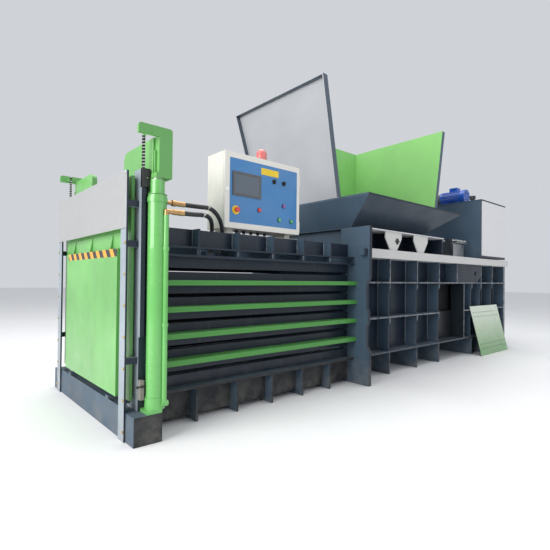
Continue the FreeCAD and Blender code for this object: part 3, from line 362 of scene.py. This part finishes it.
def rack_ladder():
    """Toothed bar: black gaps between bright rungs, one every tooth pitch."""
    f = Finish("rack_ladder")
    t = f.tree
    wave = maths(t, "FRACT", maths(t, "DIVIDE", f.z, 0.020))
    rung = between(t, wave, 0.30, 0.72, 0.05)
    base = blend(t, rung, (0.012, 0.012, 0.013), (0.600, 0.600, 0.590))
    grime = ramp(t, noise(t, f.place, 0.03, 5.0), 0.4, 0.7)
    base = blend(t, maths(t, "MULTIPLY", grime, 0.4), base, (0.020, 0.020, 0.020))
    grain = noise(t, f.place, 0.004, 2.0)
    return f.close(base, maths(t, "MULTIPLY_ADD", grime, 0.3, 0.3), 0.6, grain, 0.0001)


TAPE_PITCH = 0.139


def hazard_tape():
    """Adhesive warning tape: slanted orange and black bars, scuffed along its edges."""
    f = Finish("hazard_tape")
    t = f.tree
    lean = maths(t, "MULTIPLY", f.z, 0.8)
    pitches = maths(t, "DIVIDE", maths(t, "SUBTRACT", f.y, lean), TAPE_PITCH)
    slant = maths(t, "FRACT", maths(t, "ADD", pitches, 8.0))
    bar = between(t, slant, 0.02, 0.55, 0.01)
    base = blend(t, bar, (0.830, 0.330, 0.020), (0.012, 0.012, 0.012))
    scuff = ramp(t, noise(t, f.place, 0.012, 7.0, 0.7), 0.62, 0.74)
    base = blend(t, maths(t, "MULTIPLY", scuff, 0.5), base, DUST)
    creases = noise(t, f.place, 0.03, 3.0)
    return f.close(base, ramp(t, creases, 0.3, 0.7, 0.28, 0.45), 0.0, creases, 0.0006, 0.2)


def screen_glass(low, high, border):
    """Touch screen: black bezel round a dark display."""
    f = Finish("screen_glass")
    t = f.tree
    inside = maths(t, "MULTIPLY", between(t, f.x, low.x + border, high.x - border),
                   between(t, f.z, low.z + border, high.z - border))
    base = blend(t, inside, (0.020, 0.022, 0.026), (0.030, 0.055, 0.085))
    smear = noise(t, f.place, 0.06, 4.0)
    return f.close(base, ramp(t, smear, 0.3, 0.7, 0.10, 0.24), 0.0, smear, 0.0001, 0.6)


def beacon_plastic():
    """Clear red lamp cover with moulded rings."""
    f = Finish("beacon_plastic")
    t = f.tree
    rings = maths(t, "SINE", maths(t, "MULTIPLY", f.z, 900.0))
    tone = noise(t, f.place, 0.02, 3.0)
    base = blend(t, tone, (0.780, 0.100, 0.090), (0.880, 0.300, 0.270))
    return f.close(base, ramp(t, tone, 0.3, 0.7, 0.12, 0.22), 0.0, rings, 0.0006, 0.5,
                   {"Transmission Weight": 0.25, "Subsurface Weight": 0.15})


def perforated_green():
    """Sprayed cover: green below, fading into an over-sprayed pale band at the top."""
    low, high = (Vector(p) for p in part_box("loose_cover_plate"))

    def share(f):
        wander = maths(f.tree, "MULTIPLY", noise(f.tree, f.place, 0.3, 4.0), 0.35)
        level = maths(f.tree, "ADD", ramp(f.tree, f.z, low.z, high.z), wander)
        return ramp(f.tree, level, 0.30, 1.05, 0.0, 0.9)

    def hole_shade_spots(f):
        """Painted shade: dark spots where the rows of holes read dark, 60 mm apart along X, four rows up the
        sheet.
        """
        t = f.tree
        along = maths(t, "DIVIDE", maths(t, "SUBTRACT", f.x, low.x), 0.060)
        cell = maths(t, "FRACT", maths(t, "ADD", along, 0.5))
        across = maths(t, "MULTIPLY", maths(t, "SUBTRACT", cell, 0.5), 0.060)
        total = None
        rise = (high.z - low.z)
        tilt = math.atan2(high.y - low.y, rise)
        for height in (0.090, 0.150, rise / math.cos(tilt) - 0.150, rise / math.cos(tilt) - 0.090):
            up = maths(t, "SUBTRACT", f.z, low.z + height * math.cos(tilt))
            reach = maths(t, "ADD", maths(t, "MULTIPLY", across, across), maths(t, "MULTIPLY", up, up))
            spot = ramp(t, reach, 0.0100 ** 2, 0.0080 ** 2)
            total = spot if total is None else maths(t, "MAXIMUM", total, spot)
        return maths(t, "MULTIPLY", total, between(t, along, 0.5, 14.5))
    # the near-black mark is painted shade at the rows of holes
    return two_tone("perforated_green", (0.150, 0.330, 0.110), (0.700, 0.760, 0.640), share, 0.22, 0.8,
                    (0.015, 0.020, 0.015), hole_shade_spots)


def corners(node):
    low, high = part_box(node)
    return Vector(low), Vector(high)


def inward(axis, sign):
    """A share that is 1 on faces looking along sign * axis."""
    def share(f):
        value = {"x": f.nx, "y": f.ny, "z": f.nz}[axis]
        return ramp(f.tree, value, 0.25 * sign, 0.55 * sign)
    return share


def above(level):
    def share(f):
        return ramp(f.tree, f.z, level - 0.001, level + 0.001)
    return share


seat_high = corners("hopper_seat")[1]
door_low, door_high = corners("cabinet_door")
DOOR_FACE = door_low.y + 0.003   # the plate behind the emergency stop stands 3 mm proud of the skin
screen_low, screen_high = corners("operator_screen")
PANEL_MARGIN = 0.045


def front_overlay(f):
    """The printed blue overlay covers the door's front, short of its edges."""
    t = f.tree
    wide = between(t, f.x, door_low.x + PANEL_MARGIN, door_high.x - PANEL_MARGIN)
    tall = between(t, f.z, door_low.z + PANEL_MARGIN, door_high.z - PANEL_MARGIN)
    return maths(t, "MULTIPLY", maths(t, "MULTIPLY", wide, tall), ramp(t, f.ny, -0.4, -0.8))


def stop_ring_share(f):
    """The round plate behind the stop button."""
    t = f.tree
    low, high = corners("e_stop_button")
    across = maths(t, "SUBTRACT", f.x, (low.x + high.x) / 2)
    up = maths(t, "SUBTRACT", f.z, (low.z + high.z) / 2)
    square = maths(t, "ADD", maths(t, "MULTIPLY", across, across), maths(t, "MULTIPLY", up, up))
    reach = maths(t, "SQRT", square)
    return ramp(t, reach, 0.0356, 0.0352)


# painted reflection: the hopper front wall's faces looking -X are pale grey for the window light they
# reflect; its other faces keep the dark blue-grey
front_lit_face_paint = two_tone("hopper_front_lit_face_paint", (0.075, 0.100, 0.130), (0.410, 0.420, 0.440), inward("x", -1.0))
back_paint = two_tone("hopper_back_paint", BLUE_GREY, (0.200, 0.500, 0.130), inward("y", -1.0))
rear_paint = two_tone("hopper_rear_paint", BLUE_GREY, (0.230, 0.540, 0.150), inward("x", -1.0))
# painted shade and painted reflection: the hopper seat takes the shaded blue-grey below its flange top and
# the pale sheen colour above it
seat_shade_and_reflection = two_tone("hopper_seat_shade_and_reflection", BLUE_GREY_SHADE, REFLECTION_PALE, above(seat_high.z - 0.014))
door_paint = two_tone("door_overlay", CREAM, PANEL_BLUE, front_overlay, 0.32, 0.4, (0.800, 0.560, 0.020),
                      stop_ring_share)
cream = paint("cream_paint", CREAM, 0.4, dust=0.25, dust_top=0.0)
tank_panel = paint("tank_panel_paint", (0.740, 0.740, 0.745), 0.35, side=(0.700, 0.700, 0.710), dust=0.25)

NODE_FINISH = {
    blue_grey: ["portal_frame", "chamber_beams", "chamber_roof", "roof_ribs", "stanchions", "press_roof",
                "lower_hopper", "oil_tank"],
    rib_paint: ["press_walls", "press_ribs"],
    strip_lit_paint: ["gate_columns", "gate_guide_strips"],
    ram_shade_black: ["ram_body"],
    floor_frame: ["base_beam", "floor_plates", "floor_bearers"],
    green: ["gate_frame", "gate_cover", "lift_heads"],
    gloss_green: ["lift_barrels"],
    rail_green: ["tying_rails"],
    pale: ["long_beams"],
    gusset_reflection_paint: ["seat_gussets"],
    black_paint: ["rack_guides", "main_barrel"],
    motor_blue: ["motor_body"],
    hose_ends(): ["hose_fittings"],
    steel: ["ram_wear_parts", "rack_roller_near", "rack_roller_far", "valve_manifold"],
    chrome: ["lift_rods"],
    chrome_long: ["main_rod"],
    cast: ["motor_rotor", "oil_pump"],
    rubber: ["hose_upper", "hose_lower"],
    red: ["e_stop_button", "push_button_1"],
    purple_cap: ["push_button_2"],
    green_cap: ["push_button_3", "push_button_4"],
    dark_plastic: ["selector_1", "selector_2", "tank_breather", "limit_switch_lever"],
    grey_plastic: ["limit_switch", "cabinet_gear"],
    galvanised_sheet(): ["head_plate"],
    rack_ladder(): ["gate_racks"],
    front_lit_face_paint: ["hopper_front_wall"],
    back_paint: ["hopper_back_wall"],
    rear_paint: ["hopper_rear_wall"],
    seat_shade_and_reflection: ["hopper_seat"],
    door_paint: ["cabinet_door"],
    cream: ["cabinet_body"],
    tank_panel: ["tank_side_panel"],
    perforated_green(): ["loose_cover_plate"],
    screen_glass(screen_low, screen_high, 0.022): ["operator_screen"],
    beacon_plastic(): ["beacon_lamp"],
}
for finish, names in NODE_FINISH.items():
    for name in names:
        for material_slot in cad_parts[name].material_slots:
            material_slot.material = finish


# ---------------------------------------------------------------- pieces built here
class Piece:
    """A detail piece, gathered from simple shaped forms into one mesh."""

    def __init__(self, name):
        self.name = name
        self.mesh = bmesh.new()

    def take(self, part):
        held = bpy.data.meshes.new("held")
        part.to_mesh(held)
        part.free()
        self.mesh.from_mesh(held)
        bpy.data.meshes.remove(held)

    def block(self, low, high, edge, steps=2):
        """A block with its edges rounded to the radius edge."""
        part = bmesh.new()
        low, high = Vector(low), Vector(high)
        bmesh.ops.create_cube(part, size=1.0, matrix=Matrix.Translation((low + high) / 2)
                              @ Matrix.Diagonal((*(high - low), 1.0)))
        bmesh.ops.bevel(part, geom=part.edges[:], offset=edge, segments=steps, profile=0.5, affect="EDGES")
        self.take(part)

    def lathe(self, profile, place, axis, steps=32):
        """A turned form: profile lists (radius, height along axis) from place."""
        part = bmesh.new()
        turn = Vector(axis).to_track_quat("Z", "Y").to_matrix().to_4x4()
        rings = []
        for radius, rise in profile:
            ring = []
            for i in range(steps):
                angle = 2 * math.pi * i / steps
                ring.append(part.verts.new((radius * math.cos(angle), radius * math.sin(angle), rise)))
            rings.append(ring)
        for lower, upper in zip(rings, rings[1:]):
            for i in range(steps):
                j = (i + 1) % steps
                part.faces.new((lower[i], lower[j], upper[j], upper[i]))
        part.faces.new(rings[0][::-1])
        part.faces.new(rings[-1])
        part.transform(Matrix.Translation(Vector(place)) @ turn)
        self.take(part)

    def tube(self, path, radius, sides=8):
        """A round bar along path; radius is a number or one number for each point."""
        path = [Vector(p) for p in path]
        radii = radius if isinstance(radius, list) else [radius] * len(path)
        part = bmesh.new()
        rings = []
        for i, place in enumerate(path):
            run = (path[min(i + 1, len(path) - 1)] - path[max(i - 1, 0)]).normalized()
            turn = run.to_track_quat("Z", "Y").to_matrix()
            ring = []
            for k in range(sides):
                angle = 2 * math.pi * k / sides
                spoke = turn @ Vector((math.cos(angle), math.sin(angle), 0))
                ring.append(part.verts.new(place + spoke * radii[i]))
            rings.append(ring)
        for lower, upper in zip(rings, rings[1:]):
            for k in range(sides):
                part.faces.new((lower[k], lower[(k + 1) % sides], upper[(k + 1) % sides], upper[k]))
        part.faces.new(rings[0][::-1])
        part.faces.new(rings[-1])
        self.take(part)

    def weld(self, start, end, radius=0.0042, pitch=0.009):
        """A weld bead: overlapping ripples along a straight seam."""
        start, end = Vector(start), Vector(end)
        count = max(2, int((end - start).length / pitch) * 2)
        path, radii = [], []
        for i in range(count + 1):
            path.append(start.lerp(end, i / count))
            radii.append(radius * (1.0 if i % 2 else 0.78))
        self.tube(path, radii, 5)

    def bolt(self, place, axis, across, height, washer=0.0):
        """A hexagon bolt head on a washer; place is on the surface that it sits on."""
        axis = Vector(axis).normalized()
        rise = 0.0
        if washer:
            rise = 0.0015
            self.lathe([(washer - 0.0004, 0.0), (washer, 0.0004), (washer, rise - 0.0003),
                        (washer - 0.0005, rise)],
                       place, axis, 20)
        r = across / math.sqrt(3)
        self.lathe([(r, 0.0), (r, height * 0.82), (r * 0.86, height)], Vector(place) + axis * rise, axis, 6)

    def close(self, finish, body, slot, smooth=True):
        bmesh.ops.recalc_face_normals(self.mesh, faces=self.mesh.faces[:])
        for face in self.mesh.faces:
            face.smooth = smooth
        mesh = bpy.data.meshes.new(self.name)
        self.mesh.to_mesh(mesh)
        self.mesh.free()
        mesh.materials.append(finish)
        if smooth:
            mesh.set_sharp_from_angle(angle=math.radians(35))
        piece = bpy.data.objects.new(self.name, mesh)
        scene.collection.objects.link(piece)
        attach(piece, body)
        return piece


def levels(node, axis, keep):
    """The distinct places along one axis of a node's corners that pass keep."""
    return sorted({round(v.co[axis], 4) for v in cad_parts[node].data.vertices if keep(v.co)})


# ---------------------------------------------------------------- hydraulic hoses
HOSE_DIAMETER = 0.031
HOSE_ROUTES = {
    "hose_upper": [(-2.620, -0.812, 1.486), (-2.515, -0.812, 1.486), (-2.405, -0.785, 1.496),
                   (-2.310, -0.725, 1.468), (-2.235, -0.662, 1.428), (-2.185, -0.610, 1.370),
                   (-2.165, -0.578, 1.290)],
    "hose_lower": [(-2.670, -0.8945, 1.415), (-2.600, -0.8945, 1.415), (-2.530, -0.874, 1.424),
                   (-2.460, -0.827, 1.430), (-2.400, -0.765, 1.430), (-2.348, -0.705, 1.424),
                   (-2.306, -0.652, 1.404), (-2.278, -0.610, 1.356), (-2.265, -0.582, 1.290)],
}


def cable_tie(name, curve, share):
    """A white cable tie pulled round a hose, with its lock and cut tail."""
    held = bpy.data.meshes.new_from_object(curve)
    line = [v.co.copy() for v in held.vertices]
    index = int(len(line) * share)
    place = line[index]
    run = (line[index + 1] - line[index - 1]).normalized()
    tie = Piece(name)
    r = HOSE_DIAMETER / 2
    tie.lathe([(r - 0.001, -0.0025), (r + 0.0012, -0.0025), (r + 0.0015, 0.0), (r + 0.0012, 0.0025),
               (r - 0.001, 0.0025)], place, run)
    side = run.cross(Vector((0, 0, 1))).normalized()
    tip = place + side * (r + 0.003)
    tie.block(tip - Vector((0.004, 0.004, 0.003)), tip + Vector((0.004, 0.004, 0.003)), 0.0012)
    tail = [tip, tip + side * 0.012 + Vector((0, 0, 0.010)), tip + side * 0.016 + Vector((0, 0, 0.028))]
    tie.tube(tail, 0.0015, 6)
    return tie.close(white_plastic, "root", "grey_plastic")


for name, route in HOSE_ROUTES.items():
    curve = bpy.data.curves.new(name, "CURVE")
    curve.dimensions = "3D"
    spline = curve.splines.new("NURBS")
    spline.points.add(len(route) - 1)
    for point, place in zip(spline.points, route):
        point.co = (*place, 1.0)
    spline.order_u = 3
    spline.use_endpoint_u = True
    spline.resolution_u = 12
    hose = bpy.data.objects.new("looks_" + name, curve)
    scene.collection.objects.link(hose)
    bpy.context.view_layer.update()
    tie = cable_tie("tie_" + name, hose, 0.25)
    curve.bevel_depth = HOSE_DIAMETER / 2
    curve.bevel_resolution = 5
    curve.use_fill_caps = True
    curve.materials.append(rubber)
    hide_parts(name)
    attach(hose, "root")


# ---------------------------------------------------------------- gate details
TAPE_LOW, TAPE_HIGH, TAPE_END = 1.138, 1.189, 0.530
cover_low = corners("gate_cover")[0]
tape = Piece("hazard_tape")
tape.block((cover_low.x - 0.0006, cover_low.y + 0.003, TAPE_LOW), (cover_low.x + 0.0002, TAPE_END, TAPE_HIGH),
           0.0001, 1)
tape.close(hazard_tape(), "gate", "paint_green", False)

strip_low, strip_high = corners("gate_guide_strips")
bolts = Piece("guide_strip_bolts")
BOLT_COUNT = 9
for side in (-1, 1):
    for i in range(BOLT_COUNT):
        z = strip_low.z + 0.06 + (strip_high.z - strip_low.z - 0.12) * i / (BOLT_COUNT - 1)
        bolts.bolt((strip_low.x, side * (strip_high.y - 0.012), z), (-1, 0, 0), 0.013, 0.006, 0.010)
bolts.close(zinc, "root", "galvanised", False)


# ---------------------------------------------------------------- press weld beads
RIB_TOP = 1.230
SEAMS = ((0.27, 0.60), (0.62, 0.97), (0.99, RIB_TOP))
WALL_FACE = 0.572
rib_high = corners("press_ribs")[1]
rib_edges = levels("press_ribs", 0, lambda co: abs(co.y) > rib_high.y - 0.002 and co.z < 0.004)
# painted highlight: the weld beads are coloured far lighter than the wall paint, for light caught on their
# ripples; their faces looking -Y take painted shade
bead_highlight = paint("weld_bead_highlight", (0.260, 0.290, 0.310), 0.3, side=(0.170, 0.190, 0.210), dust=0.2)
for side, tag in ((-1, "near"), (1, "far")):
    seams = Piece("welds_press_" + tag)
    for x in rib_edges:
        for low_z, high_z in SEAMS:
            seams.weld((x, side * WALL_FACE, low_z), (x, side * WALL_FACE, high_z))
    seams.close(bead_highlight, "root", "paint_bluegrey")


# ---------------------------------------------------------------- cabinet front
def ring_round(piece, node, axis, grow, depth):
    """A turned bezel round a button's head, seated on the door's front."""
    low, high = corners(node)
    centre = (low + high) / 2
    r = (high.x - low.x) / 2 + 0.0006
    place = Vector((centre.x, DOOR_FACE, centre.z))
    outline = [(r + grow, 0.0), (r + grow, depth * 0.5), (r + grow * 0.7, depth), (r, depth), (r, 0.0)]
    piece.lathe(outline, place, axis)


bezels = Piece("button_bezels")
for node in ("push_button_1", "push_button_2", "push_button_3", "push_button_4", "selector_1", "selector_2"):
    ring_round(bezels, node, (0, -1, 0), 0.004, 0.003)
bezels.close(dark_plastic, "door", "grey_plastic")

PATCH_LOW, PATCH_HIGH = Vector((-1.800, 0.0, 1.870)), Vector((-1.610, 0.0, 1.925))
patch = Piece("plain_yellow_plate")
patch.block((PATCH_LOW.x, DOOR_FACE - 0.0012, PATCH_LOW.z), (PATCH_HIGH.x, DOOR_FACE + 0.0001, PATCH_HIGH.z),
            0.0004, 1)
patch.close(yellow, "door", "grey_plastic", False)

lock = Piece("cabinet_lock")
lock_place = (door_low.x + 0.022, DOOR_FACE, (door_low.z + door_high.z) / 2)
lock.lathe([(0.0130, 0.0), (0.0130, 0.0030), (0.0118, 0.0042), (0.0085, 0.0042), (0.0085, 0.0018)],
           lock_place, (0, -1, 0))
lock.block(Vector(lock_place) + Vector((-0.0022, -0.0058, -0.0065)),
           Vector(lock_place) + Vector((0.0022, -0.0015, 0.0065)), 0.0006)
lock.close(chrome, "door", "galvanised")

GLAND_COUNT, GLAND_FIRST, GLAND_PITCH = 5, -1.95, 0.075
GLAND_OUTLINE = [(0.016, 0.0), (0.016, 0.006), (0.0135, 0.008), (0.0135, 0.022), (0.010, 0.028),
                 (0.0065, 0.030)]
CABLE_R = 0.0062
glands = Piece("cabinet_cable_glands")
gland_y = (door_high.y + corners("cabinet_body")[1].y) / 2
for i in range(GLAND_COUNT):
    x = GLAND_FIRST + GLAND_PITCH * i
    glands.lathe(GLAND_OUTLINE, (x, gland_y, door_low.z), (0, 0, -1), 6)
    glands.tube([(x, gland_y, door_low.z - 0.026), (x, gland_y, door_low.z - 0.05),
                 (x + 0.004, gland_y + 0.004, door_low.z - 0.070)], CABLE_R, 10)
glands.close(dark_plastic, "root", "grey_plastic")


# ---------------------------------------------------------------- roof weld beads and barrel bands
WEB_INSET = 0.085
roof_low, roof_high = corners("roof_ribs")
roof_edges = levels("roof_ribs", 0, lambda co: abs(co.y) > roof_high.y - 0.002 and co.z > roof_high.z - 0.002)
WEB_Y = roof_high.y - WEB_INSET
for side, tag in ((-1, "near"), (1, "far")):
    seams = Piece("welds_roof_" + tag)
    for x in roof_edges:
        y = side * (WEB_Y + 0.002)
        seams.weld((x, y, roof_low.z + 0.065), (x, y, roof_high.z - 0.004), 0.0040, 0.010)
        seams.weld((x, side * (roof_high.y - 0.004), roof_low.z + 0.002),
                   (x, side * (roof_high.y - 0.004), roof_low.z + 0.040), 0.0036, 0.009)
    seams.close(bead_highlight, "root", "paint_bluegrey")

LIFT_X, LIFT_Y, LIFT_R = -2.820, 0.835, 0.0575
BAND_LEVELS = (1.5185, 1.2600, 0.4600)
BAND_OUTLINE = [(LIFT_R - 0.001, 0.0), (LIFT_R + 0.0012, 0.0004), (LIFT_R + 0.0016, 0.0022),
                (LIFT_R + 0.0012, 0.0040), (LIFT_R - 0.001, 0.0044)]
bands = Piece("lift_barrel_bands")
for side in (-1, 1):
    for z in BAND_LEVELS:
        bands.lathe(BAND_OUTLINE, (LIFT_X, side * LIFT_Y, z), (0, 0, 1), 48)
bands.close(gloss_green, "root", "paint_green")


# ---------------------------------------------------------------- motor cooling fins
motor_low, motor_high = corners("motor_body")
rotor_low, rotor_high = corners("motor_rotor")
motor_axis = Vector(((rotor_low.x + rotor_high.x) / 2, 0.0, (rotor_low.z + rotor_high.z) / 2))
MOTOR_R, FIN_COUNT, FIN_RISE = 0.105, 28, 0.010
FIN_SPREAD = 0.86   # no fins where the feet and the terminal box stand, near straight down and straight up
fins = Piece("motor_fins")
for i in range(FIN_COUNT):
    angle = 2 * math.pi * i / FIN_COUNT
    if abs(math.sin(angle)) > FIN_SPREAD:
        continue
    out = Vector((math.cos(angle), 0.0, math.sin(angle)))
    foot = motor_axis + out * (MOTOR_R - 0.002)
    tip = motor_axis + out * (MOTOR_R + FIN_RISE)
    y0, y1 = motor_low.y + 0.070, motor_high.y - 0.022
    fins.tube([(foot.x, y0, foot.z), (foot.x, y1, foot.z)], 0.0042, 6)
    crest = tip * 0.5 + foot * 0.5
    fins.tube([(crest.x, y0 + 0.006, crest.z), (crest.x, y1 - 0.006, crest.z)], 0.0034, 6)
fins.close(motor_blue, "root", "motor_blue")


# ---------------------------------------------------------------- floor, light and backdrop
def studio_floor():
    """Pale, faintly cloudy floor."""
    f = Finish("studio_floor")
    t = f.tree
    clouds = noise(t, f.place, 1.2, 4.0)
    base = blend(t, clouds, (0.78, 0.78, 0.78), (0.84, 0.84, 0.84))
    return f.close(base, ramp(t, clouds, 0.3, 0.7, 0.55, 0.7), 0.0, clouds, 0.0005)


floor_mesh = bpy.data.meshes.new("studio_floor")
SPAN, FLOOR_Z = 40.0, -0.001
floor_mesh.from_pydata([(-SPAN, -SPAN, FLOOR_Z), (SPAN, -SPAN, FLOOR_Z), (SPAN, SPAN, FLOOR_Z),
                        (-SPAN, SPAN, FLOOR_Z)], [], [(0, 1, 2, 3)])
floor_mesh.materials.append(studio_floor())
floor = bpy.data.objects.new("studio_floor", floor_mesh)
scene.collection.objects.link(floor)


def area_light(name, place, target, size, power, colour=(1.0, 1.0, 1.0)):
    """A rectangular lamp at place, turned towards target."""
    light = bpy.data.lights.new(name, "AREA")
    light.shape = "RECTANGLE"
    light.size, light.size_y = size
    light.energy = power
    light.color = colour
    lamp = bpy.data.objects.new(name, light)
    place, target = Vector(place), Vector(target)
    turn = (target - place).to_track_quat("-Z", "Y").to_matrix().to_4x4()
    lamp.matrix_world = Matrix.Translation(place) @ turn
    scene.collection.objects.link(lamp)


MIDDLE = (LOW + HIGH) / 2
area_light("window_light", (-9.0, -1.0, 4.0), (-2.0, 0.0, 1.0), (6.0, 5.0), 620, (1.0, 0.99, 0.97))
area_light("roof_light", (0.5, 0.5, 8.0), (MIDDLE.x, MIDDLE.y, 0.5), (9.0, 6.0), 480)
area_light("yard_light", (1.5, -9.0, 3.5), (0.5, 0.0, 1.0), (9.0, 3.0), 80, (0.94, 0.97, 1.0))

world = bpy.data.worlds.new("studio")
world.use_nodes = True
world.node_tree.nodes["Background"].inputs["Color"].default_value = (0.92, 0.95, 1.0, 1.0)
world.node_tree.nodes["Background"].inputs["Strength"].default_value = 0.68
scene.world = world
scene.view_settings.view_transform = "Standard"
